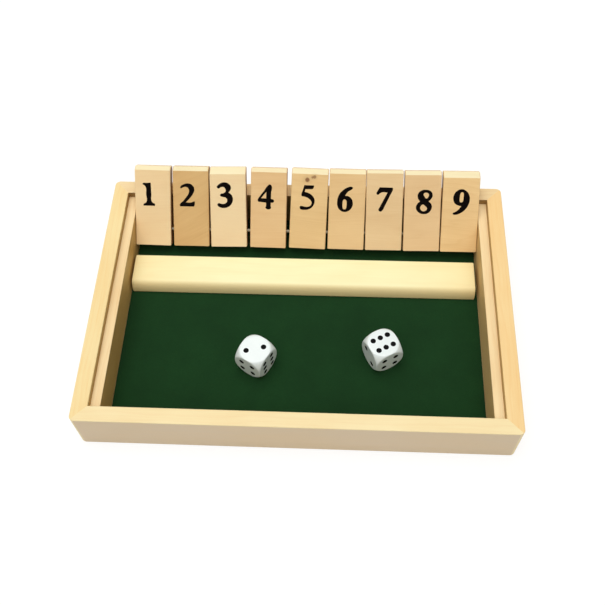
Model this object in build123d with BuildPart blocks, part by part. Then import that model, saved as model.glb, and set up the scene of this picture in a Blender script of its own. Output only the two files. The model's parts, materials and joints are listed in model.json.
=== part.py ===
from build123d import *
from math import acos, atan, atan2, cos, degrees, hypot, radians, sin, sqrt
import os

# A nine-number flip-tile dice game: a shallow mitred wooden tray with a felt floor, a row of tiles
# that swing on one rod, a rail that the closed tiles lie on, and two dice.
# X runs to the right, Y from the player to the rear, Z up. The origin is on the table under the
# middle of the tray. All sizes are in millimetres and degrees.

os.makedirs("parts", exist_ok=True)

# ------------------------------------------------------------------------------ driving sizes
# Tray frame: four rails of one stock, mitred and glued
tray_width = 220.0
tray_depth = 149.2
rail_height = 26.8
rail_thickness = 8.2
corner_radius = 2.8  # upright outer corners of the tray
rail_ease = 0.25  # edges of the rails, sanded off

# Floor: a thin panel let into a rebate under the rails, with felt glued on it
base_thickness = 3.0
base_lap = 4.0  # how far the panel reaches under the rails
panel_gap = 0.15  # all round the panel in its rebate
felt_thickness = 1.0
felt_gap = 0.3  # all round the felt

# Inner strips: one along each side rail; they carry the rod
strip_thickness = 5.1
strip_drop = 3.8  # strip top below the rail top
strip_end_gap = 0.1
strip_ease = 0.4

# Divider bar: lies on the felt across the tray and carries the closed tiles
bar_depth = 19.5
bar_height = 7.5
bar_setback = 32.35  # rear rail's inner face to the bar's rear face
bar_left_gap = 1.3  # bar's ends to the strips
bar_right_gap = 2.1
bar_front_round = 2.5
bar_rear_round = 0.5

# Rod and tiles
rod_diameter = 2.0
rod_setback = 16.1  # rear rail's inner face to the rod's axis
rod_end_gap = 0.2
rod_seat_clearance = 0.04  # radial, in the strips
tile_bore_clearance = 0.08  # radial, in the tiles
tile_thickness = 6.5
tile_reach = 35.6  # rod's axis to the tile's top end
tile_gap = 1.1  # typical gap between neighbouring tiles
row_left_gap = 0.25  # first tile to the left strip
row_right_gap = 0.2  # last tile to the right strip
tail_clearance = 1.3  # tile tails over the felt as they swing past
rest_gap = 0.2  # leaning tile to the rear rail, closed tile to the bar
tile_ease = 0.35

# The row is cut and assembled by hand: each tile's width as a share of the mean one, each gap as
# a share of the tile gap, how far each tile's top stands to the right of its pivot (its bore is
# drilled that much off square) as a share of the tile gap, and the sanded bevel on each top front
# edge as a share of the tile's thickness.
width_shares = (0.99, 0.994, 1.002, 0.996, 1.012, 1.002, 1.006, 0.998, 1.0)
gap_shares = (1.5, 0.95, 1.89, 1.85, 1.06, 0.7, 0.85, 0.6)
top_drift_shares = (0.36, -0.02, -0.56, 0.38, 0.94, 0.3, -0.25, -0.45, -0.18)
top_bevel_shares = (0.345, 0.36, 0.57, 0.34, 0.43, 0.35, 0.25, 0.33, 0.5)

# Dice: cubes turned down to a ball at the corners, with recessed pips
die_size = 16.0
die_ball_diameter = 22.4
pip_diameter = 2.9
pip_depth = 0.4
pip_sides = 12  # each pip is a shallow flat-sided recess, to keep the die light
pip_offset = 3.25  # pips of 2 to 5 from the face's middle, each way
six_along = 4.18  # outer pips of the six's rows of three from the middle
six_across = 3.1  # the six's two rows from the middle
left_die_place = (-22.8, -28.7)
left_die_turn = -30.4
right_die_place = (43.3, -23.0)
right_die_turn = 28.8

# ------------------------------------------------------------------------------ derived sizes
tile_count = len(width_shares)
inner_width = tray_width - 2 * rail_thickness
inner_depth = tray_depth - 2 * rail_thickness
rear_face = inner_depth / 2  # inner face of the rear rail
clear_width = inner_width - 2 * strip_thickness
base_width = inner_width + 2 * base_lap
base_depth = inner_depth + 2 * base_lap
felt_top = base_thickness + felt_thickness
strip_top = rail_height - strip_drop
bar_top = felt_top + bar_height
row_width = clear_width - row_left_gap - row_right_gap
mean_tile_width = (row_width - sum(gap_shares) * tile_gap) / sum(width_shares)

# The rod is at the height at which a closed tile lies flat on the bar
rod_y = rear_face - rod_setback
rod_z = bar_top + rest_gap + tile_thickness / 2
rod_radius = rod_diameter / 2

# A tile's tail is as long as the felt under the rod allows
tail_swing = rod_z - felt_top - tail_clearance
tile_tail = sqrt(tail_swing**2 - (tile_thickness / 2) ** 2)

# An open tile leans back until its rear face meets the eased top edge of the rear rail
edge_back = rear_face + rail_ease - rod_y
edge_up = rail_height - rail_ease - rod_z
edge_stand_off = tile_thickness / 2 + rest_gap + rail_ease
lean = degrees(acos(edge_stand_off / hypot(edge_back, edge_up)) - atan2(edge_up, edge_back))
print(f"tiles lean back {lean:.2f} degrees and close through {90 + lean:.2f} degrees")
print(f"rod axis y {rod_y:.2f} z {rod_z:.2f}, mean tile width {mean_tile_width:.2f}, tail {tile_tail:.2f}")


# ------------------------------------------------------------------------------ tray frame
def mitred_rail(outer_ends, inner_ends, run):
    """One rail of the frame: mitred stock with the panel's rebate and eased edges."""
    with BuildSketch() as stock:
        with BuildLine():
            Polyline(*outer_ends, *reversed(inner_ends), close=True)
        make_face()
        RectangleRounded(tray_width, tray_depth, corner_radius, mode=Mode.INTERSECT)
    extrude(stock.sketch, amount=rail_height)
    top_edges = faces().sort_by(Axis.Z)[-1].edges()
    foot_edges = faces().sort_by(Axis.Z)[0].edges()
    eased = top_edges.filter_by(run) + foot_edges.filter_by(run).sort_by(Edge.length)[-1:]
    eased += top_edges.filter_by(GeomType.CIRCLE) + foot_edges.filter_by(GeomType.CIRCLE)
    chamfer(eased, rail_ease)
    with BuildSketch() as rebate:
        Rectangle(base_width, base_depth)
    extrude(rebate.sketch, amount=base_thickness, mode=Mode.SUBTRACT)


def frame_corner(side_x, side_y, inset):
    """A corner of the frame, at its outer edge (inset 0) or moved in along the mitre."""
    return (side_x * (tray_width / 2 - inset), side_y * (tray_depth / 2 - inset))


def rail_ends(first, last):
    """Outer and inner end points of a rail between two corners of the frame."""
    outer = [frame_corner(*first, 0), frame_corner(*last, 0)]
    inner = [frame_corner(*first, rail_thickness), frame_corner(*last, rail_thickness)]
    return outer, inner


with BuildPart() as front_rail:
    mitred_rail(*rail_ends((-1, -1), (1, -1)), Axis.X)
front_rail.part.label = "front_rail"
export_step(front_rail.part, "parts/front_rail.step")

with BuildPart() as rear_rail:
    mitred_rail(*rail_ends((1, 1), (-1, 1)), Axis.X)
rear_rail.part.label = "rear_rail"
export_step(rear_rail.part, "parts/rear_rail.step")

with BuildPart() as left_rail:
    mitred_rail(*rail_ends((-1, 1), (-1, -1)), Axis.Y)
left_rail.part.label = "left_rail"
export_step(left_rail.part, "parts/left_rail.step")

with BuildPart() as right_rail:
    mitred_rail(*rail_ends((1, -1), (1, 1)), Axis.Y)
right_rail.part.label = "right_rail"
export_step(right_rail.part, "parts/right_rail.step")

# ------------------------------------------------------------------------------ floor
with BuildPart() as base_panel:
    with BuildSketch():
        Rectangle(base_width - 2 * panel_gap, base_depth - 2 * panel_gap)
    extrude(amount=base_thickness)
base_panel.part.label = "base_panel"
export_step(base_panel.part, "parts/base_panel.step")

with BuildPart() as felt_sheet:
    with BuildSketch(Plane.XY.offset(base_thickness)):
        Rectangle(clear_width - 2 * felt_gap, inner_depth - 2 * felt_gap)
    extrude(amount=felt_thickness)
felt_sheet.part.label = "felt_sheet"
export_step(felt_sheet.part, "parts/felt_sheet.step")


# ------------------------------------------------------------------------------ inner strips
def rod_strip(side):
    """A strip glued to a side rail, standing on the panel, bored for the rod."""
    middle_x = side * (clear_width + strip_thickness) / 2
    with BuildSketch(Plane.XY.offset(base_thickness)) as stock:
        with Locations((middle_x, 0)):
            Rectangle(strip_thickness, inner_depth - 2 * strip_end_gap)
    extrude(stock.sketch, amount=strip_top - base_thickness)
    fillet(faces().sort_by(Axis.Z)[-1].edges().filter_by(Axis.Y), strip_ease)
    with BuildSketch(Plane((middle_x, rod_y, rod_z), x_dir=(0, 1, 0), z_dir=(1, 0, 0))) as hole:
        Circle(rod_radius + rod_seat_clearance)
    extrude(hole.sketch, amount=strip_thickness, both=True, mode=Mode.SUBTRACT)


with BuildPart() as left_strip:
    rod_strip(-1)
left_strip.part.label = "left_strip"
export_step(left_strip.part, "parts/left_strip.step")

with BuildPart() as right_strip:
    rod_strip(1)
right_strip.part.label = "right_strip"
export_step(right_strip.part, "parts/right_strip.step")

# ------------------------------------------------------------------------------ divider bar
bar_rear = rear_face - bar_setback
bar_front = bar_rear - bar_depth

with BuildPart() as divider_bar:
    with BuildSketch(Plane.XY.offset(felt_top)):
        with Locations(((bar_left_gap - bar_right_gap) / 2, (bar_front + bar_rear) / 2)):
            Rectangle(clear_width - bar_left_gap - bar_right_gap, bar_depth)
    extrude(amount=bar_height)
    bar_top_edges = divider_bar.faces().sort_by(Axis.Z)[-1].edges().filter_by(Axis.X)
    fillet(bar_top_edges.sort_by(Axis.Y)[0], bar_front_round)
    bar_top_edges = divider_bar.faces().sort_by(Axis.Z)[-1].edges().filter_by(Axis.X)
    fillet(bar_top_edges.sort_by(Axis.Y)[-1], bar_rear_round)
divider_bar.part.label = "divider_bar"
export_step(divider_bar.part, "parts/divider_bar.step")

# ------------------------------------------------------------------------------ rod
with BuildPart() as pivot_rod:
    with BuildSketch(Plane((0, rod_y, rod_z), x_dir=(0, 1, 0), z_dir=(1, 0, 0))):
        Circle(rod_radius)
    extrude(amount=inner_width / 2 - rod_end_gap, both=True)
pivot_rod.part.label = "pivot_rod"
export_step(pivot_rod.part, "parts/pivot_rod.step")

# ------------------------------------------------------------------------------ tiles
# In a tile's own plane x points to its rear face and y up the tile, from the rod's axis.
rear_normal = Vector(0, cos(radians(lean)), -sin(radians(lean)))


def tile_plane(pivot_x, drift_angle):
    """The plane that a tile's side profile is drawn on, in the middle of its width."""
    across = Vector(cos(drift_angle), 0, 0)
    across -= Vector(0, sin(radians(lean)), cos(radians(lean))) * sin(drift_angle)
    return Plane((pivot_x, rod_y, rod_z), x_dir=rear_normal, z_dir=across)


left_side = -clear_width / 2 + row_left_gap
for number in range(1, tile_count + 1):
    tile_width = width_shares[number - 1] * mean_tile_width
    pivot_x = left_side + tile_width / 2
    drift = top_drift_shares[number - 1] * tile_gap
    bevel = top_bevel_shares[number - 1] * tile_thickness
    front = -tile_thickness / 2
    rear = tile_thickness / 2
    with BuildPart() as tile:
        with BuildSketch(tile_plane(pivot_x, atan(drift / tile_reach))):
            with BuildLine():
                Polyline(
                    (front, -tile_tail),
                    (rear, -tile_tail),
                    (rear, tile_reach),
                    (front + bevel, tile_reach),
                    (front, tile_reach - bevel),
                    close=True,
                )
            make_face()
        extrude(amount=tile_width / 2, both=True)
        side_faces = tile.faces().sort_by(Axis.X)
        chamfer(side_faces[0].edges() + side_faces[-1].edges(), tile_ease)
        with BuildSketch(Plane((pivot_x, rod_y, rod_z), x_dir=(0, 1, 0), z_dir=(1, 0, 0))):
            Circle(rod_radius + tile_bore_clearance)
        extrude(amount=tile_width, both=True, mode=Mode.SUBTRACT)
    tile.part.label = f"tile_{number}"
    export_step(tile.part, f"parts/tile_{number}.step")
    if number < tile_count:
        left_side += tile_width + gap_shares[number - 1] * tile_gap

# ------------------------------------------------------------------------------ dice
# Each face's number, the way it looks out and the way its pattern's first axis runs, in the
# die's own axes: opposite faces add to seven
die_faces = {
    1: ((-1, 0, 0), (0, 1, 0)),
    2: ((0, 0, 1), (1, 0, 0)),
    3: ((0, 1, 0), (0, 0, 1)),
    4: ((0, -1, 0), (0, 0, 1)),
    5: ((0, 0, -1), (1, 0, 0)),
    6: ((1, 0, 0), (0, 1, 0)),
}


def pip_spots(number):
    """Where the pips of a number stand on its face, from the middle."""
    if number == 6:
        return [(row * six_across, step * six_along) for row in (-1, 1) for step in (-1, 0, 1)]
    spots = [(0, 0)] if number % 2 else []
    if number >= 2:
        spots += [(-pip_offset, -pip_offset), (pip_offset, pip_offset)]
    if number >= 4:
        spots += [(-pip_offset, pip_offset), (pip_offset, -pip_offset)]
    return spots


def pipped_cube(die_plane):
    """A die: a cube turned down to a ball at its corners, with a recess for each pip."""
    Box(die_size, die_size, die_size)
    Sphere(die_ball_diameter / 2, mode=Mode.INTERSECT)
    for number, (outward, first_axis) in die_faces.items():
        face_centre = Vector(*outward) * die_size / 2
        face_plane = Plane(face_centre, x_dir=first_axis, z_dir=outward)
        with BuildSketch(Plane(die_plane.location * face_plane.location)) as pattern:
            with Locations(*pip_spots(number)):
                RegularPolygon(pip_diameter / 2, pip_sides)
        extrude(pattern.sketch, amount=-pip_depth, mode=Mode.SUBTRACT)


def heading(turn):
    """A level direction, turned counter-clockwise from X seen from above."""
    return Vector(cos(radians(turn)), sin(radians(turn)), 0)


# The left die lies with its 2 up, the right one with its 6 up
die_height = felt_top + die_size / 2
left_centre = (*left_die_place, die_height)
left_plane = Plane(left_centre, x_dir=heading(left_die_turn), z_dir=(0, 0, 1))
right_centre = (*right_die_place, die_height)
right_plane = Plane(right_centre, x_dir=(0, 0, 1), z_dir=-heading(right_die_turn))

with BuildPart(left_plane) as left_die:
    pipped_cube(left_plane)
left_die.part.label = "left_die"
export_step(left_die.part, "parts/left_die.step")

with BuildPart(right_plane) as right_die:
    pipped_cube(right_plane)
right_die.part.label = "right_die"
export_step(right_die.part, "parts/right_die.step")
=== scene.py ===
"""Looks of the nine-tile dice game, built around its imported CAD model. Metres, X right, Z up."""
import json
from math import atan2, cos, radians, sin, sqrt

import bmesh
import bpy
from mathutils import Matrix, Vector, noise


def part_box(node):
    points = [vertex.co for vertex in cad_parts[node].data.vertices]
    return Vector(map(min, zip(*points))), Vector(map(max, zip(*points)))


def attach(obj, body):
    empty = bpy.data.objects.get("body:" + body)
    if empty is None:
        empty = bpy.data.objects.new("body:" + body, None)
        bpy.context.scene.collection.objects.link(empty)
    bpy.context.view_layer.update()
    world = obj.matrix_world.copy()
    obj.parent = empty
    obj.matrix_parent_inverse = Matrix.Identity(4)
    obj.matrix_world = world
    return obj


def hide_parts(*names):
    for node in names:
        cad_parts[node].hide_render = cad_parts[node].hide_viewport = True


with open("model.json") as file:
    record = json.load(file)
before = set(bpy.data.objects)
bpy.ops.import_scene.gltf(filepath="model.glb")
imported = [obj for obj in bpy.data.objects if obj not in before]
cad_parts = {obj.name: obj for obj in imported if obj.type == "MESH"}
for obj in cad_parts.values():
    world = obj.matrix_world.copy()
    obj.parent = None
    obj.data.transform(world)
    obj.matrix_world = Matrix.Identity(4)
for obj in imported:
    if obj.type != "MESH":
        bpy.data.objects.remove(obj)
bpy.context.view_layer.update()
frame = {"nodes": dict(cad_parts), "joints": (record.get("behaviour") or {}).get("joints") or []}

MM = 0.001
IMAGE_SIDE = 605
TILE_COUNT = 9


# ------------------------------------------------------------------ small helpers
def rgb(red, green, blue):
    """A colour written in 8-bit display values, as the linear colour that nodes take."""
    def linear(value):
        share = value / 255
        return share / 12.92 if share <= 0.04045 else ((share + 0.055) / 1.055) ** 2.4
    return (linear(red), linear(green), linear(blue), 1.0)


def shade(colour, factor):
    """A colour made darker or lighter."""
    return (*(min(1.0, channel * factor) for channel in colour[:3]), 1.0)


def add_object(name, data):
    """An object of a mesh, a curve, a lamp or a lens, in the scene."""
    made = bpy.data.objects.new(name, data)
    bpy.context.scene.collection.objects.link(made)
    return made


def add_mesh(name, vertices, faces, material):
    """A mesh object with one material, its vertices in metres."""
    mesh = bpy.data.meshes.new(name)
    mesh.from_pydata(vertices, [], faces)
    mesh.update()
    mesh.materials.append(material)
    return add_object(name, mesh)


def closed_mesh(work, name, material):
    """A mesh of a closed solid that was built up in bmesh, its faces looking out."""
    bmesh.ops.recalc_face_normals(work, faces=work.faces)
    mesh = bpy.data.meshes.new(name)
    work.to_mesh(mesh)
    work.free()
    mesh.materials.append(material)
    return mesh


def smooth(mesh, crease):
    """Shades a mesh smoothly but for the edges that turn by more than a crease angle in degrees."""
    for polygon in mesh.polygons:
        polygon.use_smooth = True
    work = bmesh.new()
    work.from_mesh(mesh)
    for edge in work.edges:
        edge.smooth = not (edge.is_manifold and edge.calc_face_angle(0) > radians(crease))
    work.to_mesh(mesh)
    work.free()


def axes_at(right, up, out, origin):
    """The matrix that takes X, Y and Z to three directions, with the origin moved."""
    matrix = Matrix((right, up, out)).transposed().to_4x4()
    matrix.translation = origin
    return matrix


def flatten(made):
    """A new mesh of an object: a piece with its modifiers applied, or a curve as faces."""
    depsgraph = bpy.context.evaluated_depsgraph_get()
    mesh = bpy.data.meshes.new_from_object(made.evaluated_get(depsgraph))
    mesh.name = made.name
    return mesh


# ------------------------------------------------------------------ materials
class Graph:
    """Short calls that add nodes to one material or world."""

    def __init__(self, owner):
        owner.use_nodes = True
        self.owner = owner
        self.nodes = owner.node_tree.nodes
        self.links = owner.node_tree.links

    def put(self, socket, value):
        """Links a socket's input to a node's output, or sets it to a plain value."""
        if isinstance(value, bpy.types.NodeSocket):
            self.links.new(value, socket)
        else:
            socket.default_value = value

    def node(self, kind, inputs=(), **settings):
        made = self.nodes.new("ShaderNode" + kind)
        for key, value in settings.items():
            setattr(made, key, value)
        for key, value in dict(inputs).items():
            self.put(made.inputs[key], value)
        return made

    def math(self, operation, first, second=0.0, third=0.0, clamp=False):
        made = self.node("Math", {0: first, 1: second, 2: third}, operation=operation)
        made.use_clamp = clamp
        return made.outputs[0]

    def vector(self, operation, first, second=(0, 0, 0), output=0):
        made = self.node("VectorMath", {0: first, 1: second}, operation=operation)
        return made.outputs[output]

    def span(self, value, low, high, start=0.0, end=1.0):
        """Maps a value from low..high to start..end, held at both ends."""
        inputs = {"Value": value, "From Min": low, "From Max": high, "To Min": start, "To Max": end}
        return self.node("MapRange", inputs).outputs["Result"]

    def noise(self, vector, scale, detail=3.0, roughness=0.5, distortion=0.0):
        inputs = {"Vector": vector, "Scale": scale, "Detail": detail, "Roughness": roughness,
                  "Distortion": distortion}
        return self.node("TexNoise", inputs).outputs["Fac"]

    def mapping(self, vector, location=(0, 0, 0), rotation=(0, 0, 0), scale=(1, 1, 1)):
        inputs = {"Vector": vector, "Location": location, "Rotation": rotation, "Scale": scale}
        return self.node("Mapping", inputs).outputs[0]

    def ramp(self, factor, *stops):
        """A colour ramp; each stop is a place and a colour or a grey."""
        made = self.node("ValToRGB", {"Fac": factor})
        elements = made.color_ramp.elements
        while len(elements) < len(stops):
            elements.new(0.5)
        for element, (place, colour) in zip(elements, stops):
            element.position = place
            element.color = colour if hasattr(colour, "__len__") else (colour, colour, colour, 1)
        return made.outputs["Color"]

    def mix(self, factor, first, second):
        """The first colour at a factor of 0, the second at 1."""
        made = self.node("Mix", data_type="RGBA")
        self.put(made.inputs["Factor"], factor)
        self.put(made.inputs[6], first)
        self.put(made.inputs[7], second)
        return made.outputs[2]

    def surface(self, **sockets):
        """Sets or links inputs of the material's own shader."""
        shader = self.nodes["Principled BSDF"]
        for name, value in sockets.items():
            self.put(shader.inputs[name.replace("_", " ")], value)

    def bump(self, height, strength, distance):
        made = self.node("Bump", {"Height": height, "Strength": strength, "Distance": distance})
        self.surface(Normal=made.outputs[0])

    def seen(self):
        """1 for rays from the camera, straight or by way of metal or glass, and 0 for all others."""
        path = self.node("LightPath").outputs
        straight = self.math("MAXIMUM", path["Is Camera Ray"], path["Is Glossy Ray"])
        return self.math("MAXIMUM", straight, path["Is Transmission Ray"])


def material_graph(name):
    """The node graph of a new material."""
    return Graph(bpy.data.materials.new(name))


def in_millimetres(graph):
    """The place on the piece in millimetres."""
    here = graph.node("TexCoord").outputs["Object"]
    return graph.mapping(here, scale=(1000, 1000, 1000))


WORN_LIT_EDGE = 0.45  # how far the pale edges reach, worn and with a painted highlight, millimetres
# A side's painted shade or light begins to show and is full at these cosines to its direction.
SIDE_START = 0.95
SIDE_FULL = 0.985
KNOT_HEART = rgb(134, 86, 40)


def growth_rings(graph, board, grain, gap, pith):
    """Rings round a far pith, wavering along the board: 1 in late wood, near 0 in early wood."""
    waver = graph.noise(graph.mapping(grain, scale=(0.018, 0.05, 0.05)), 1.0, 2.0)
    ripple = graph.noise(graph.mapping(grain, scale=(0.05, 0.4, 0.4)), 1.0, 3.0)
    from_pith = graph.vector("ADD", board, tuple(-part for part in pith))
    radius = graph.vector("LENGTH", graph.vector("MULTIPLY", from_pith, (0, 1, 1)), output=1)
    wavy = graph.math("MULTIPLY_ADD", waver, 9.0, graph.math("MULTIPLY_ADD", ripple, 1.3, radius))
    ring = graph.math("FRACT", graph.math("MULTIPLY", wavy, 1.0 / gap))
    return graph.ramp(ring, (0.0, 0.25), (0.25, 0.05), (0.7, 0.4), (0.9, 1.0), (1.0, 0.25))


def knotted(graph, colour, place, deep, centre, size, strength):
    """The colour with a small knot: a brown heart in a darker ring."""
    reach = graph.vector("LENGTH", graph.vector("SUBTRACT", place, centre), output=1)
    rough = graph.math("MULTIPLY_ADD", graph.noise(place, 1.6, 3.0), 0.5 * size, reach)
    heart = graph.span(rough, 0.85 * size, 1.25 * size, strength, 0.0)
    halo = graph.span(rough, 1.0 * size, 2.6 * size, 0.35 * strength, 0.0)
    return graph.mix(heart, graph.mix(halo, colour, shade(deep, 0.7)), KNOT_HEART)


def worn_lit_edges(graph, colour, pale):
    """The colour with the piece's edges pale: worn, and with a painted highlight."""
    flat = graph.node("NewGeometry").outputs["Normal"]
    soft = graph.node("Bevel", {"Radius": WORN_LIT_EDGE * MM}, samples=4).outputs[0]
    worn = graph.vector("DOT_PRODUCT", soft, flat, output=1)
    return graph.mix(graph.span(worn, 0.995, 0.9, 0.0, 0.3), colour, shade(pale, 1.1))


def wood(name, pale, deep, along=(0, 0, 0), seed=0.0, ring_gap=2.6, figure=1.0,
         pith=(0, 55, -70), knots=(), side_shading=(), middle=None):
    """Planed pale wood, with growth rings, fibres, pores, dark end grain, and pale edges that are
    worn and carry a painted highlight.

    pale and deep are its two tones. along turns the grain from X, and pith is the middle of its
    growth rings. Sizes in the node tree are millimetres. knots are a centre, a size and a strength
    each. The sides are directions, each with a colour that paints shade or light on the faces that
    look along it and, for a rounded one, the cosine at which it begins to show. middle is a painted
    highlight: a colour that fades out towards both ends of X, and where it starts to fade and where
    it ends."""
    graph = material_graph(name)
    place = in_millimetres(graph)
    facing = graph.node("TexCoord").outputs["Normal"]
    board = graph.mapping(place, rotation=along)
    grain = graph.mapping(board, location=(seed * 37.0, seed * 11.3, seed * 5.7))

    late = growth_rings(graph, board, grain, ring_gap, pith)
    fibre = graph.noise(graph.mapping(grain, scale=(0.035, 2.2, 2.2)), 1.0, 5.0, 0.62)
    fine = graph.noise(graph.mapping(grain, scale=(0.22, 9.0, 9.0)), 1.0, 3.0, 0.6)
    pores = graph.noise(graph.mapping(grain, scale=(0.28, 5.5, 5.5)), 1.0, 2.0, 0.4)
    cloud = graph.noise(graph.mapping(grain, scale=(0.02, 0.045, 0.045)), 1.0, 3.0, 0.55)

    fleck = graph.span(pores, 0.66, 0.78)
    depth = graph.math("MULTIPLY", late, 0.22 * figure)
    depth = graph.math("MULTIPLY_ADD", graph.span(fibre, 0.35, 0.7), 0.3 * figure, depth)
    depth = graph.math("MULTIPLY_ADD", graph.span(cloud, 0.35, 0.7), 0.42, depth)
    depth = graph.math("MULTIPLY_ADD", fleck, 0.22, depth, clamp=True)
    colour = graph.mix(depth, pale, deep)

    # the sawn fibre ends drink in the finish and show darker
    turned = graph.mapping(facing, rotation=along)
    across = graph.math("ABSOLUTE", graph.vector("DOT_PRODUCT", turned, (1, 0, 0), output=1))
    end_grain = graph.span(across, 0.75, 0.98, 0.0, 0.42)
    colour = graph.mix(end_grain, colour, shade(deep, 0.72))
    # painted highlight: a paler tone in the middle of X, fading towards both ends
    if middle:
        tone, start, end = middle
        out = graph.math("ABSOLUTE", graph.node("SeparateXYZ", {0: place}).outputs["X"])
        tone = graph.mix(graph.math("MULTIPLY", depth, 0.5), tone, deep)
        colour = graph.mix(graph.span(out, start, end, 0.9, 0.0), colour, tone)
    # painted shade or light: a colour for the faces that look along each direction
    for direction, shading_tone, *start in side_shading:
        toward = graph.vector("DOT_PRODUCT", facing, direction, output=1)
        first = start[0] if start else SIDE_START
        shading_tone = graph.mix(graph.math("MULTIPLY", depth, 0.35), shading_tone, deep)
        colour = graph.mix(graph.span(toward, first, SIDE_FULL), colour, shading_tone)

    for knot in knots:
        colour = knotted(graph, colour, place, deep, *knot)

    graph.surface(Base_Color=worn_lit_edges(graph, colour, pale))
    graph.surface(Roughness=graph.span(graph.math("ADD", fibre, cloud), 0.6, 1.4, 0.42, 0.58))
    height = graph.math("MULTIPLY_ADD", fine, 0.6, graph.math("MULTIPLY", fibre, 0.8))
    height = graph.math("SUBTRACT", height, graph.math("MULTIPLY", fleck, 0.6))
    graph.bump(height, 0.35, 0.05 * MM)
    return graph.owner


def paint(node_name, material):
    """Gives a carried-over CAD node its material."""
    node = frame["nodes"][node_name]
    if not node.material_slots:
        node.data.materials.append(material)
    for slot in node.material_slots:
        slot.link = "OBJECT"
        slot.material = material


GRAIN_Y = (0, 0, radians(90))
LEFT, RIGHT, FRONT = (-1, 0, 0), (1, 0, 0), (0, -1, 0)
# Each side colour below is painted shade on a rail's or strip's front or inner face.
paint("front_rail", wood("front_rail_wood", rgb(254, 236, 184), rgb(244, 210, 150), seed=1.0,
                         figure=0.7, pith=(0, 40, -60), side_shading=[(FRONT, rgb(230, 207, 173))]))
paint("rear_rail", wood("rear_rail_wood", rgb(252, 228, 178), rgb(234, 194, 132), seed=2.0,
                        pith=(0, 160, -50), side_shading=[(FRONT, rgb(140, 106, 46))]))
paint("left_rail", wood("left_rail_wood", rgb(251, 229, 169), rgb(246, 205, 134), GRAIN_Y, 3.0,
                        pith=(0, 60, -70), side_shading=[(RIGHT, rgb(176, 142, 76))]))
paint("right_rail", wood("right_rail_wood", rgb(253, 221, 159), rgb(246, 199, 128), GRAIN_Y, 4.0,
                         pith=(0, -30, -80), side_shading=[(LEFT, rgb(186, 150, 84))]))
strip_tones = rgb(253, 230, 180), rgb(238, 198, 138)
paint("left_strip", wood("left_strip_wood", *strip_tones, GRAIN_Y, 5.0, pith=(0, 40, 60),
                         side_shading=[(RIGHT, rgb(194, 158, 88))]))
paint("right_strip", wood("right_strip_wood", *strip_tones, GRAIN_Y, 6.0, pith=(0, -20, 70),
                          side_shading=[(LEFT, rgb(214, 182, 122))]))
paint("base_panel", wood("panel_wood", rgb(236, 206, 156), rgb(206, 162, 108), seed=7.0))


def steel():
    """Drawn steel wire, with fine lines along it."""
    graph = material_graph("rod_steel")
    place = in_millimetres(graph)
    lines = graph.noise(graph.mapping(place, scale=(0.05, 8.0, 8.0)), 1.0, 4.0, 0.6)
    smudge = graph.noise(place, 0.12, 3.0)
    graph.surface(Base_Color=graph.mix(smudge, rgb(176, 168, 148), rgb(136, 126, 104)), Metallic=1.0)
    graph.surface(Roughness=graph.span(graph.math("ADD", lines, smudge), 0.6, 1.4, 0.4, 0.6))
    graph.bump(lines, 0.2, 0.02 * MM)
    return graph.owner


paint("pivot_rod", steel())

# ------------------------------------------------------------------ bar
# All in millimetres.
BAR_FOOT = 0.4  # round of its bottom front edge
BAR_NOSE = 3.5  # how far back from its front the top starts to round over
BAR_NOSE_HEIGHT = 7.0
BAR_HEEL = 0.5  # round of its top rear edge
BAR_END_ROUND = 0.5
BAR_PROUD = 0.4  # how far its nose stands out of the plain board's front
BAR_CREASE = 40  # degrees


def quarter(steps):
    """Points round a quarter circle as pairs: the first fades from 1 to 0, the second grows to 1."""
    angles = [radians(90 * step / steps) for step in range(steps + 1)]
    return [(1 - sin(angle), 1 - cos(angle)) for angle in angles]


def bar_section(low, high):
    """The bar's outline seen from its end, as (y, z) from its bottom front edge round the top."""
    foot, heel = BAR_FOOT * MM, BAR_HEEL * MM
    nose, nose_height = BAR_NOSE * MM, BAR_NOSE_HEIGHT * MM
    line = [(low.y + foot * fading, low.z + foot * growing) for fading, growing in quarter(3)]
    line += [(low.y + nose * growing, high.z - nose_height * fading) for fading, growing in quarter(18)]
    line += [(high.y - heel * fading, high.z - heel * growing) for fading, growing in quarter(4)]
    return line + [(high.y, low.z)]


def bar_board(material):
    """The bar with its nose planed round and its two ends eased by hand."""
    low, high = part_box("divider_bar")
    low.y -= BAR_PROUD * MM
    section = bar_section(low, high)
    middle = (low.y + high.y) / 2
    end_round = BAR_END_ROUND * MM
    easing = [(end_round * fading, end_round * growing) for fading, growing in quarter(5)]
    stations = [(low.x + along, inset) for inset, along in easing]
    stations += [(high.x - along, inset) for inset, along in reversed(easing)]
    vertices = []
    for x, inset in stations:
        wide = 1 - inset / (middle - low.y)
        tall = 1 - inset / (high.z - low.z)
        vertices += [(x, middle + (y - middle) * wide, low.z + (z - low.z) * tall) for y, z in section]
    count = len(section)
    faces = [tuple(range(count)), tuple(range(len(vertices) - 1, len(vertices) - count - 1, -1))]
    for station in range(len(stations) - 1):
        for here in range(count):
            after = (here + 1) % count
            a, b = station * count + here, station * count + after
            faces.append((a, a + count, b + count, b))
    board = add_mesh("bar_board", vertices, faces, material)
    work = bmesh.new()
    work.from_mesh(board.data)
    bmesh.ops.recalc_face_normals(work, faces=work.faces)
    work.to_mesh(board.data)
    work.free()
    smooth(board.data, BAR_CREASE)
    return board


# The middle colour is a painted highlight on the top; the front colour is painted light on the nose.
bar = bar_board(wood("bar_wood", rgb(254, 236, 178), rgb(250, 220, 154), seed=8.0, figure=0.75,
                     ring_gap=3.4, pith=(0, -20, -90), middle=(rgb(254, 254, 204), 45, 108),
                     side_shading=[(FRONT, rgb(254, 230, 170), 0.1)]))
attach(bar, "tray")
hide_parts("divider_bar")

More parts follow.
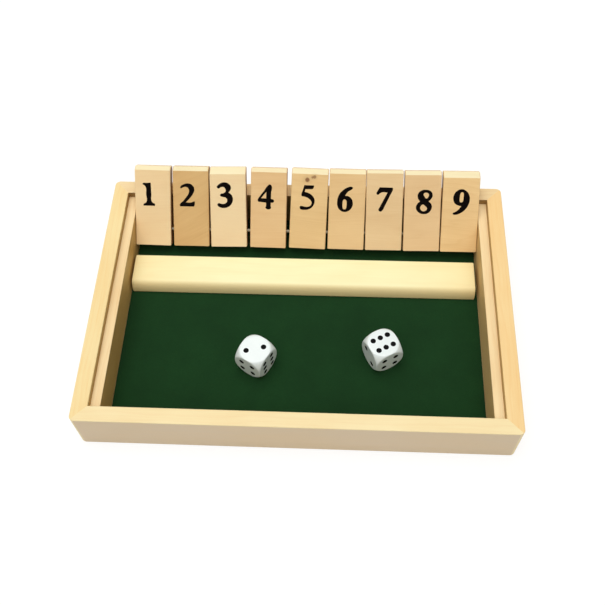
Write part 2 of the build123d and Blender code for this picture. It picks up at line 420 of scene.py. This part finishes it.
# ------------------------------------------------------------------ tiles
# Each tile's board: pale and deep tone, how far its grain slants in the face, ring gap, figure.
TILE_BOARDS = (
    (rgb(255, 225, 173), rgb(243, 203, 146), 2, 3.0, 0.7),
    (rgb(233, 192, 127), rgb(210, 161, 97), 28, 4.2, 0.9),
    (rgb(255, 228, 178), rgb(249, 210, 157), -3, 3.0, 0.7),
    (rgb(248, 210, 153), rgb(232, 185, 126), 2, 3.4, 0.9),
    (rgb(249, 211, 149), rgb(229, 186, 124), -6, 3.0, 0.9),
    (rgb(248, 210, 151), rgb(232, 189, 128), 3, 3.4, 0.8),
    (rgb(248, 215, 162), rgb(232, 192, 137), -2, 2.6, 0.8),
    (rgb(246, 209, 155), rgb(228, 186, 130), 2, 3.0, 0.8),
    (rgb(252, 215, 154), rgb(232, 187, 123), -4, 1.9, 1.0),
)
# The bevel's pale tone is sanded wood with a painted highlight; the sides' dark tone is sawn wood with
# painted shade between the tiles.
SANDED_AND_LIT = rgb(254, 242, 198)
SAWN_AND_SHADED = rgb(186, 138, 84)
KNOT_TILE = 5
# Each knot's place on the tile, across it and up from the rod, its size and its strength.
KNOTS = ((-1.47, 29.61, 1.5, 0.9), (2.51, 31.40, 1.1, 0.75), (1.36, 31.10, 0.8, 0.65))


class Tile:
    """A tile's own axes, read off its CAD solid: across it, up it and out of its front."""

    def __init__(self, number):
        node = frame["nodes"][f"tile_{number}"]
        joint = next(j for j in frame["joints"] if j["name"] == f"tile_{number}_flip")
        faces = sorted(node.data.polygons, key=lambda face: face.area)
        self.front = next(f.normal for f in reversed(faces) if f.normal.y < -0.1).copy()
        self.across = next(f.normal for f in reversed(faces) if f.normal.x > 0.9).copy()
        self.up = self.front.cross(self.across).normalized()
        self.bevel = (self.front + self.up).normalized()
        rod = Vector(joint["pos_m"])
        reach = [vertex.co.dot(self.across) for vertex in node.data.vertices]
        middle = (min(reach) + max(reach)) / 2
        rod.x = (middle - rod.y * self.across.y - rod.z * self.across.z) / self.across.x
        self.pivot = rod
        self.face = max((vertex.co - rod).dot(self.front) for vertex in node.data.vertices)

    def point(self, right, high, proud=0.0):
        """A point on or over the front face, from millimetres across, up and proud of it."""
        out = self.face + proud * MM
        return self.pivot + self.across * right * MM + self.up * high * MM + self.front * out

    def over_face(self, proud):
        """Turns a flat drawing, with its origin at the rod, to lie proud of the front face."""
        return axes_at(self.across, self.up, self.front, self.point(0, 0, proud))


tiles = {number: Tile(number) for number in range(1, TILE_COUNT + 1)}
for number, (pale, deep, slant, gap, figure) in enumerate(TILE_BOARDS, 1):
    tile = tiles[number]
    lean = atan2(tile.up.y, tile.up.z)
    knots = ()
    if number == KNOT_TILE:
        knots = [(tuple(tile.point(x, y) / MM), size, strength) for x, y, size, strength in KNOTS]
    # painted highlight on the bevel, painted shade on both sawn sides
    side_shading = [(tuple(tile.bevel), SANDED_AND_LIT), (tuple(tile.across), SAWN_AND_SHADED), (tuple(-tile.across), SAWN_AND_SHADED)]
    paint(f"tile_{number}", wood(f"tile_{number}_wood", pale, deep, (lean, radians(slant), 0),
                                 10.0 + number, gap, figure, pith=(0, 70, 45), knots=knots,
                                 side_shading=side_shading))

# ------------------------------------------------------------------ numerals
# Each numeral's place on its tile (left, low, right, high, millimetres from the rod's middle) and
# its outline: points on a smooth line in a field of any width, 100 high. A third value marks a
# corner. Further lists are holes.
NUMERALS = {
    1: ((-5.59, 13.37, 1.23, 26.33), 52.6, [
        (0, 95.8), (17.9, 98.3), (34.7, 100, 1), (36.8, 50), (38.3, 18), (52.6, 8, 1),
        (51.6, 0, 1), (1.5, 0, 1), (2, 6.5, 1), (14.7, 16), (14.1, 50), (13.3, 80), (7.4, 88),
        (0.6, 91, 1)]),
    2: ((-6.35, 13.40, 2.14, 26.34), 65.3, [
        (5.1, 85.7), (18.4, 94.9), (37.7, 99.4), (56, 91.8), (63.9, 76.5), (58.1, 56.1),
        (42.8, 35.7), (26.5, 18.4, 1), (34.7, 16.3), (51, 16.9), (60.2, 21), (65.3, 21.8, 1),
        (63.3, 5.1), (60, 0.6, 1), (2, 0.6, 1), (0.4, 5.1), (16.3, 23.5), (31.6, 42.9),
        (40.8, 58.2), (41.8, 72.4), (35.7, 82.6), (24.5, 85.7), (14.3, 82.6), (7.1, 78.2, 1),
        (4, 82.6)]),
    3: ((-6.27, 13.02, 2.76, 27.34), 62.0, [
        (1, 82.3), (4.9, 88.2), (16.7, 97), (30.4, 100), (46, 95.1), (54.9, 82.3), (51.9, 68.6),
        (45.7, 60.8, 1), (56.8, 51), (61.7, 35.3), (55.9, 15.7), (40.2, 2.9), (22.5, 0),
        (8.8, 3.9), (2, 11.8), (5.9, 18.6), (12.7, 17.3), (22.5, 15.3), (34.3, 18.6),
        (40.2, 29.4), (35.3, 40.2), (22.5, 43.5), (12.7, 49), (15.7, 54.9), (25.5, 57.3),
        (34.3, 64.7), (33.9, 74.5), (26.5, 82.3), (16.7, 81.4), (5.9, 76.5)]),
    4: ((-6.13, 12.72, 3.02, 26.68), 66.0, [
        (46.7, 99.5), (54.8, 95), (53.8, 66.6), (53.4, 42.2, 1), (64, 38.6), (66, 33.1),
        (61.9, 28), (52.8, 27, 1), (52.8, 13.8), (53.8, 4.7), (42.6, 0), (32.5, 5.7),
        (34.5, 13.8), (34.5, 27, 1), (13.2, 29), (2, 31.1), (0.6, 38.2), (5.1, 46.3),
        (23.3, 70.6), (40.6, 95)], [(34.5, 70.6, 1), (34.5, 43.2, 1), (13.2, 44.2, 1)]),
    5: ((-5.05, 12.87, 3.00, 26.58), 58.0, [
        (15, 99.6, 1), (53.5, 100, 1), (52.5, 93.3), (48.3, 86, 1), (19.2, 84.6, 1),
        (16.7, 72.5, 1), (29.6, 69.4), (46.3, 60), (56.7, 45.4), (57.7, 30.8), (50.4, 14.2),
        (35.8, 3.3), (19.2, 0.4), (4.6, 1.7), (0.4, 6.9), (2.5, 13.8), (9.8, 13.8),
        (21.3, 11.7), (35.8, 13.1), (46.3, 22.5), (46.3, 35), (35.8, 46.5), (21.3, 53.3),
        (6.7, 55.4, 1), (5, 60), (9.8, 78.8)]),
    6: ((-5.46, 12.21, 3.23, 26.23), 61.6, [
        (55.1, 100), (59.6, 95.9), (55.1, 89.8), (40.8, 80.6), (29.6, 64.3, 1), (42.9, 62.2),
        (55.1, 53), (61.2, 35.7), (57.1, 17.3), (44.9, 4.1), (28.6, 0), (12.2, 6.1), (2, 21.4),
        (0, 41.8), (6.1, 66.3), (20.4, 84.7), (38.8, 96.9)],
        [(28.9, 50), (37.6, 29.6), (28.9, 9.2), (20.2, 29.6)]),
    7: ((-4.57, 12.85, 4.43, 26.40), 66.3, [
        (12.9, 99, 1), (64.3, 98, 1), (66.3, 94.9), (53, 62), (36.5, 27.1), (25.3, 4.5),
        (18.1, 0), (10.9, 4.5), (16, 18.9), (30.4, 47.6), (42.7, 72.3), (44.8, 78.8, 1),
        (22.2, 79.5), (11.9, 73.3), (5.7, 69.2), (0.6, 73.3), (4.7, 84.6)]),
    8: ((-3.61, 11.88, 5.41, 25.42), 66.0, [
        (36.9, 100), (57.7, 94.2), (66, 77.5), (59.8, 61.9), (50.4, 52.5, 1), (61.9, 40),
        (63.5, 23.3), (51.5, 5.6), (32.7, 0), (11.9, 6.7), (0.4, 25.4), (5.6, 42.1),
        (16, 51.5, 1), (6.7, 67.1), (8.7, 85.8), (22.3, 97.3)],
        [(29.6, 83.8), (39, 88.5), (50.4, 82.7), (48.3, 69.2), (41, 64), (33.7, 71.3)],
        [(28.5, 39.6), (36.9, 33.8), (45.6, 23.3), (40, 14), (30.6, 11.3), (20.2, 17.1),
         (17.1, 28.5)]),
    9: ((-4.26, 11.90, 4.89, 26.13), 66.7, [
        (33.3, 100), (49.6, 94.3), (62.6, 78.9), (66.7, 62.6), (61.8, 39.8), (49.6, 20.3),
        (30.1, 5.7), (10.6, 0), (2.4, 1.6), (1.6, 5.7), (10.6, 10.6), (23.6, 20.3),
        (34.1, 34.1, 1), (22, 36.6), (7.3, 44.7), (0.8, 59.3), (2.4, 77.2), (13.8, 92.7)],
        [(35.5, 88.8), (41.5, 69), (32.5, 48.2), (26, 68)]),
}
INK_THICKNESS = 0.05
INK_LIFT = 0.01  # how far the middle of the ink stands over the tile's face
# How far the ink has spread out of each numeral's outline, in millimetres.
INK_SPREAD = {1: 0.03, 2: 0.1, 3: 0.04, 4: 0.05, 5: 0.1, 6: 0.06, 7: 0.08, 8: 0.04, 9: 0.03}


def ink():
    """Black hot-stamped ink, a little uneven."""
    graph = material_graph("numeral_ink")
    place = in_millimetres(graph)
    patchy = graph.noise(place, 0.9, 4.0, 0.6)
    grain = graph.noise(graph.mapping(place, scale=(0.2, 5.0, 5.0)), 1.0, 3.0)
    colour = graph.mix(graph.span(patchy, 0.4, 0.75), rgb(7, 4, 4), rgb(24, 16, 12))
    graph.surface(Base_Color=colour, Roughness=graph.span(grain, 0.3, 0.7, 0.5, 0.7))
    graph.surface(Specular_IOR_Level=0.03)
    graph.bump(grain, 0.3, 0.02 * MM)
    return graph.owner


def spread(points, reach):
    """A closed line moved out of itself by a reach, or into itself by a negative one."""
    pairs = list(zip(points, points[1:] + points[:1]))
    winding = sum(a.x * b.y - b.x * a.y for a, b in pairs)
    side = 1 if winding > 0 else -1
    moved = []
    for index, point in enumerate(points):
        along = points[(index + 1) % len(points)] - points[index - 1]
        moved.append(point + Vector((along.y, -along.x)).normalized() * side * reach)
    return moved


def outline(curve, points, place, width, reach):
    """Adds a closed line through the points, smooth but at its corners."""
    left, low, right, high = place
    spots = [Vector((left + x / width * (right - left), low + y / 100 * (high - low)))
             for x, y, *_ in points]
    spline = curve.splines.new("BEZIER")
    spline.bezier_points.add(len(points) - 1)
    for knot, spot, (_, _, *corner) in zip(spline.bezier_points, spread(spots, reach), points):
        knot.co = (spot.x * MM, spot.y * MM, 0)
        kind = "VECTOR" if corner else "AUTO"
        knot.handle_left_type = kind
        knot.handle_right_type = kind
    spline.use_cyclic_u = True
    spline.resolution_u = 8


def stamp(number, material):
    """A numeral on its tile: its outline and holes as one thin film of ink."""
    place, width, *lines = NUMERALS[number]
    curve = bpy.data.curves.new(f"numeral_{number}_line", "CURVE")
    curve.dimensions = "2D"
    curve.fill_mode = "BOTH"
    curve.extrude = INK_THICKNESS * MM / 2
    for points in lines:
        reach = INK_SPREAD[number] * (1 if points is lines[0] else -1)
        outline(curve, points, place, width, reach)
    drawn = add_object(f"numeral_{number}_line", curve)
    bpy.context.view_layer.update()
    mesh = flatten(drawn)
    bpy.data.objects.remove(drawn)
    mesh.transform(tiles[number].over_face(INK_LIFT))
    mesh.materials.clear()
    mesh.materials.append(material)
    return add_object(f"numeral_{number}", mesh)


numeral_ink = ink()
for number in NUMERALS:
    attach(stamp(number, numeral_ink), f"tile_{number}")

# ------------------------------------------------------------------ felt
# All in millimetres.
FELT_CELL = 1.5
FELT_WAVE = 0.07  # how far the nap lies under the CAD sheet's top at most
FELT_EDGE_DROP = 0.18  # how much lower its cut edges are
FELT_CREASE = 50  # degrees


def felt_material():
    """Dense green felt: short matted fibres with a soft sheen."""
    graph = material_graph("felt")
    place = in_millimetres(graph)
    swirl = graph.noise(place, 0.25, 2.0)
    bent = graph.vector("ADD", place, graph.node("CombineXYZ", {"X": swirl, "Y": swirl}).outputs[0])
    fibres = graph.noise(graph.mapping(bent, scale=(1.2, 4.0, 1.0)), 1.0, 6.0, 0.7, 1.2)
    crossing = graph.noise(graph.mapping(bent, scale=(4.0, 1.2, 1.0)), 1.0, 6.0, 0.7, 1.2)
    speck = graph.noise(place, 2.6, 4.0, 0.7)
    cloud = graph.noise(place, 0.05, 4.0, 0.6)
    nap = graph.math("MULTIPLY", graph.math("ADD", graph.math("ADD", fibres, crossing), speck), 1 / 3)
    colour = graph.mix(graph.span(nap, 0.34, 0.66), rgb(15, 46, 21), rgb(28, 68, 33))
    colour = graph.mix(graph.span(cloud, 0.35, 0.7, 0.0, 0.5), colour, rgb(17, 46, 22))
    graph.surface(Base_Color=colour, Roughness=1.0)
    graph.surface(Specular_IOR_Level=0.15, Sheen_Weight=0.08, Sheen_Roughness=0.6)
    graph.surface(Sheen_Tint=rgb(120, 170, 120))
    graph.bump(nap, 0.7, 0.25 * MM)
    return graph.owner


def laid_felt():
    """The felt sheet: one even thickness, its nap slightly uneven, its cut edges softened."""
    low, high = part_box("felt_sheet")
    size = high - low
    count_x = round(size.x / (FELT_CELL * MM))
    count_y = round(size.y / (FELT_CELL * MM))
    vertices = []
    for top in (False, True):
        for j in range(count_y + 1):
            for i in range(count_x + 1):
                x = low.x + size.x * i / count_x
                y = low.y + size.y * j / count_y
                z = low.z
                if top:
                    at = Vector((x, y, 0)) / MM
                    nap = 0.6 * noise.noise(at * 0.05) + 0.4 * noise.noise(at * 0.31)
                    border = min(i, j, count_x - i, count_y - j) == 0
                    z = high.z - MM * (FELT_WAVE * (0.5 - 0.5 * nap) + FELT_EDGE_DROP * border)
                vertices.append((x, y, z))
    row = count_x + 1
    layer = row * (count_y + 1)
    faces = []
    for j in range(count_y):
        for i in range(count_x):
            a = j * row + i
            corner = (a, a + 1, a + 1 + row, a + row)
            faces.append(tuple(reversed(corner)))
            faces.append(tuple(index + layer for index in corner))
    rim = [i for i in range(count_x)]
    rim += [j * row + count_x for j in range(count_y)]
    rim += [count_y * row + i for i in range(count_x, 0, -1)]
    rim += [j * row for j in range(count_y, 0, -1)]
    for here, after in zip(rim, rim[1:] + rim[:1]):
        faces.append((here, after, after + layer, here + layer))
    sheet = add_mesh("felt_lining", vertices, faces, felt_material())
    smooth(sheet.data, FELT_CREASE)
    return sheet


felt = laid_felt()
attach(felt, "tray")
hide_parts("felt_sheet")

# ------------------------------------------------------------------ dice
# All in millimetres and degrees.
DIE_HALF = 8.0
DIE_BALL = 11.3  # the radius of the ball that its corners are turned down to
CREASE_POWER = 60  # higher makes the creases round the faces sharper
DIE_CREASE = 24
ENAMEL_CREASE = 40
WELD = 0.002  # points nearer than this are one
PIP_RADIUS = 1.45
PIP_DEPTH = 0.5
PIP_LIP = 0.12  # how far the cutter widens over the dish's rim
PIP_LIP_HEIGHT = 0.1
PIP_CLEAR = 0.6  # how far the cutter stands out of the face
PAINT_HALF = 0.03  # half of the enamel's thickness
PAINT_SHARE = 0.98  # the enamel's radius as a share of the dish's
PIP_OFFSET = 3.25
SIX_ALONG = 4.18
SIX_ACROSS = 3.1
LEFT_DIE_TURN = -30.4
RIGHT_DIE_TURN = 28.8
RIM_STEPS = 96
PIP_STEPS = 36
DISH_RINGS = (0, 0.2, 0.4, 0.6, 0.8, 0.92)  # shares of the pip's radius
# Rings from a face's middle out to its crease, and on to the cube's edge, as shares of each way.
FACE_RINGS = (0.3, 0.6, 0.84, 0.91, 0.94, 0.96, 0.975, 0.99, 1.0)
CORNER_RINGS = (0.12, 0.25, 0.4, 0.6, 0.8, 1.0)
# Each face's number, the way it looks out and the way its pattern's first axis runs.
DIE_FACES = {
    1: ((-1, 0, 0), (0, 1, 0)),
    2: ((0, 0, 1), (1, 0, 0)),
    3: ((0, 1, 0), (0, 0, 1)),
    4: ((0, -1, 0), (0, 0, 1)),
    5: ((0, 0, -1), (1, 0, 0)),
    6: ((1, 0, 0), (0, 1, 0)),
}


def pip_spots(number):
    """Where the pips of a number stand on its face, from the middle."""
    if number == 6:
        return [(row * SIX_ACROSS, step * SIX_ALONG) for row in (-1, 1) for step in (-1, 0, 1)]
    spots = [(0, 0)] if number % 2 else []
    if number >= 2:
        spots += [(-PIP_OFFSET, -PIP_OFFSET), (PIP_OFFSET, PIP_OFFSET)]
    if number >= 4:
        spots += [(-PIP_OFFSET, PIP_OFFSET), (PIP_OFFSET, -PIP_OFFSET)]
    return spots


def die_point(direction):
    """Where a ray from the die's middle leaves a cube turned down to a ball, creases softened."""
    direction = direction.normalized()
    total = sum((abs(part) / DIE_HALF) ** CREASE_POWER for part in direction)
    total += (1 / DIE_BALL) ** CREASE_POWER
    return direction * total ** (-1 / CREASE_POWER)


def die_body(material):
    """The die without its pips: rings round each face's middle, close together at the crease."""
    crease = sqrt(DIE_BALL**2 - DIE_HALF**2) / DIE_HALF
    work = bmesh.new()
    for outward, first in DIE_FACES.values():
        out, first = Vector(outward), Vector(first)
        second = out.cross(first)
        middle = work.verts.new(die_point(out) * MM)
        last = None
        shares = [(share, 0) for share in FACE_RINGS] + [(1, share) for share in CORNER_RINGS]
        for along_face, along_corner in shares:
            here = []
            for step in range(RIM_STEPS):
                angle = radians(360 * step / RIM_STEPS)
                edge = 1 / max(abs(cos(angle)), abs(sin(angle)))
                reach = crease * along_face + (edge - crease) * along_corner
                ray = out + (first * cos(angle) + second * sin(angle)) * reach
                here.append(work.verts.new(die_point(ray) * MM))
            for step in range(RIM_STEPS):
                after = (step + 1) % RIM_STEPS
                if last is None:
                    work.faces.new((middle, here[step], here[after]))
                else:
                    work.faces.new((last[step], here[step], here[after], last[after]))
            last = here
    bmesh.ops.remove_doubles(work, verts=work.verts, dist=WELD * MM)
    return closed_mesh(work, "die", material)


def turned_rings(work, place, profile):
    """A closed solid turned about a face's normal from (radius, height) pairs in millimetres."""
    rings = []
    for reach, high in profile:
        if reach == 0:
            rings.append([work.verts.new(place @ Vector((0, 0, high * MM)))])
            continue
        ring = []
        for step in range(PIP_STEPS):
            angle = radians(360 * step / PIP_STEPS)
            at = Vector((reach * cos(angle), reach * sin(angle), high)) * MM
            ring.append(work.verts.new(place @ at))
        rings.append(ring)
    for lower, upper in zip(rings, rings[1:]):
        for step in range(PIP_STEPS):
            after = (step + 1) % PIP_STEPS
            corners = [lower[step % len(lower)], lower[after % len(lower)],
                       upper[after % len(upper)], upper[step % len(upper)]]
            work.faces.new(list(dict.fromkeys(corners)))


def pip_solids(name, profile, material):
    """One solid of a profile at each of the 21 pips."""
    work = bmesh.new()
    for number, (outward, first) in DIE_FACES.items():
        out, first = Vector(outward), Vector(first)
        axes = axes_at(first, out.cross(first), out, (0, 0, 0))
        for x, y in pip_spots(number):
            place = axes @ Matrix.Translation(Vector((x, y, DIE_HALF)) * MM)
            turned_rings(work, place, profile)
    return closed_mesh(work, name, material)


def dish(reach):
    """The height of a pip's dished floor at a distance from its middle."""
    ball = (PIP_RADIUS**2 + PIP_DEPTH**2) / (2 * PIP_DEPTH)
    return ball - PIP_DEPTH - sqrt(ball**2 - reach**2)


def die_plastic():
    """White moulded plastic, polished in a tumbler."""
    graph = material_graph("die_plastic")
    place = in_millimetres(graph)
    cloud = graph.noise(place, 0.16, 3.0)
    scuff = graph.noise(place, 1.1, 5.0, 0.65)
    colour = graph.mix(cloud, rgb(239, 247, 246), rgb(231, 240, 239))
    graph.surface(Base_Color=colour, Roughness=graph.span(scuff, 0.35, 0.7, 0.12, 0.26))
    graph.surface(IOR=1.65)
    graph.bump(scuff, 0.08, 0.02 * MM)
    return graph.owner


def pip_paint():
    """Black enamel settled in the pips."""
    graph = material_graph("pip_paint")
    place = in_millimetres(graph)
    patchy = graph.noise(place, 1.4, 3.0)
    colour = graph.mix(patchy, rgb(6, 6, 7), rgb(20, 19, 20))
    graph.surface(Base_Color=colour, Roughness=graph.span(patchy, 0.35, 0.65, 0.3, 0.5))
    graph.surface(Specular_IOR_Level=0.05)
    graph.bump(patchy, 0.15, 0.03 * MM)
    return graph.owner


def die_meshes():
    """The die with its dished pips cut, and the paint that fills them."""
    plastic = die_plastic()
    reaches = [PIP_RADIUS * share for share in DISH_RINGS]
    wide = PIP_RADIUS + PIP_LIP
    cut = [(reach, dish(reach)) for reach in reaches]
    cut += [(PIP_RADIUS, 0.0), (wide, PIP_LIP_HEIGHT), (wide, PIP_CLEAR), (0, PIP_CLEAR)]
    wetted = [PAINT_SHARE * reach for reach in reaches + [PIP_RADIUS]]
    bottom = [(reach, dish(reach)) for reach in wetted]
    coat = [(reach, high - PAINT_HALF) for reach, high in bottom]
    coat += [(reach, high + PAINT_HALF) for reach, high in reversed(bottom)]
    body = add_object("die_blank", die_body(plastic))
    cutter = add_object("die_cutter", pip_solids("die_cutter", cut, plastic))
    drill = body.modifiers.new("pips", "BOOLEAN")
    drill.operation = "DIFFERENCE"
    drill.solver = "EXACT"
    drill.object = cutter
    bpy.context.view_layer.update()
    mesh = flatten(body)
    for made in (body, cutter):
        bpy.data.objects.remove(made)
    smooth(mesh, DIE_CREASE)
    enamel = pip_solids("pips", coat, pip_paint())
    smooth(enamel, ENAMEL_CREASE)
    return mesh, enamel


def heading(turn):
    """A level direction, turned counter-clockwise from X seen from above."""
    return Vector((cos(radians(turn)), sin(radians(turn)), 0))


def set_die(name, first, out, meshes):
    """Stands a die and its paint where the CAD die is: first and out are its X and Z."""
    low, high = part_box(name)
    place = axes_at(first, out.cross(first), out, (low + high) / 2)
    for mesh, piece_name in zip(meshes, (f"{name}_plastic", f"{name}_pips")):
        own = mesh.copy()
        own.name = piece_name
        own.transform(place)
        piece = add_object(piece_name, own)
        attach(piece, name)
        if mesh is meshes[0]:
            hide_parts(name)


UP = Vector((0, 0, 1))
die_pair = die_meshes()
set_die("left_die", heading(LEFT_DIE_TURN), UP, die_pair)
set_die("right_die", UP, -heading(RIGHT_DIE_TURN), die_pair)

# ------------------------------------------------------------------ floor, light, camera
WHITE = (1, 1, 1, 1)
FLOOR_HALF = 3.0
FLOOR_GLOW = 0.76  # with the lamps' light on it, the seen floor comes out white
FLOOR_SEEN = (0.3, 0.3, 0.3, 1)
# Each stop of the sky: how far its direction leans to the sky's top, from 0 to 1, and its colour.
SKY = ((0.0, (0.02, 0.025, 0.03)), (0.5, (0.16, 0.165, 0.175)), (1.0, (1.0, 0.99, 0.96)))
SKY_LEVEL = 1.5
SKY_TOP = Vector((-0.04, -0.22, 0.975))
KEY_WATTS = 6.6
KEY_WIDTH = 1.2
KEY_DISTANCE = 1.5
KEY_COLOUR = (1.0, 0.975, 0.93)
KEY_FROM = Vector((-0.14, 0.16, 0.95)).normalized()


def floor_material():
    """White ground: the camera sees it white but for the object's shadow."""
    graph = material_graph("floor_white")
    cloud = graph.noise(graph.node("TexCoord").outputs["Object"], 3.0)
    pale = graph.mix(cloud, rgb(231, 231, 231), rgb(232, 232, 232))
    ground = graph.node("BsdfDiffuse", {"Color": pale}).outputs[0]
    dim = graph.node("BsdfDiffuse", {"Color": FLOOR_SEEN}).outputs[0]
    glow = graph.node("Emission", {"Color": WHITE, "Strength": FLOOR_GLOW}).outputs[0]
    lit = graph.node("AddShader", {0: dim, 1: glow}).outputs[0]
    both = graph.node("MixShader", {0: graph.seen(), 1: ground, 2: lit}).outputs[0]
    graph.put(graph.nodes["Material Output"].inputs["Surface"], both)
    return graph.owner


def studio_floor():
    """A wide plain floor."""
    corners = [(x * FLOOR_HALF, y * FLOOR_HALF, 0) for x, y in ((-1, -1), (1, -1), (1, 1), (-1, 1))]
    return add_mesh("floor", corners, [(0, 1, 2, 3)], floor_material())


def studio_sky():
    """A soft sky, bright overhead and a little to the front, dim towards the floor. It looks white."""
    world = bpy.data.worlds.new("studio")
    graph = Graph(world)
    seen = graph.seen()
    way = graph.node("TexCoord").outputs["Generated"]
    rise = graph.vector("DOT_PRODUCT", way, SKY_TOP.normalized(), output=1)
    sky = graph.ramp(rise, *((height, (*colour, 1)) for height, colour in SKY))
    background = graph.nodes["Background"].inputs
    graph.put(background["Color"], graph.mix(seen, sky, WHITE))
    graph.put(background["Strength"], graph.math("MULTIPLY_ADD", seen, 1 - SKY_LEVEL, SKY_LEVEL))
    return world


def key_lamp():
    """One large round lamp, high and a little behind."""
    lamp = bpy.data.lights.new("key", "AREA")
    lamp.shape = "DISK"
    lamp.size = KEY_WIDTH
    lamp.energy = KEY_WATTS
    lamp.color = KEY_COLOUR
    key = add_object("key", lamp)
    key.location = KEY_FROM * KEY_DISTANCE
    key.rotation_euler = KEY_FROM.to_track_quat("Z", "Y").to_euler()


# The photograph's camera, solved from the tray's edges.
FOCAL_PIXELS = 836.5
CAMERA_PLACE = Vector((18.13, -231.48, 400.17)) * MM
LOOK_DOWN = radians(58.60)
LOOK_ASIDE = radians(-4.33)
ROLL = radians(-2.24)
SENSOR_WIDTH = 36.0
NEAREST = 0.01


def photo_camera():
    """The camera at the photograph's place, with its focal length."""
    level = cos(LOOK_DOWN)
    ahead = Vector((sin(LOOK_ASIDE) * level, cos(LOOK_ASIDE) * level, -sin(LOOK_DOWN)))
    level_right = ahead.cross(UP).normalized()
    level_up = level_right.cross(ahead)
    right = level_right * cos(ROLL) + level_up * sin(ROLL)
    upward = level_up * cos(ROLL) - level_right * sin(ROLL)
    lens = bpy.data.cameras.new("camera")
    lens.sensor_fit = "HORIZONTAL"
    lens.sensor_width = SENSOR_WIDTH
    lens.lens = FOCAL_PIXELS / IMAGE_SIDE * SENSOR_WIDTH
    lens.clip_start = NEAREST
    camera = add_object("camera", lens)
    camera.matrix_world = axes_at(right, upward, -ahead, CAMERA_PLACE)
    return camera


scene = bpy.context.scene
floor = studio_floor()
scene.world = studio_sky()
scene.camera = photo_camera()
key_lamp()
scene.view_settings.view_transform = "Standard"
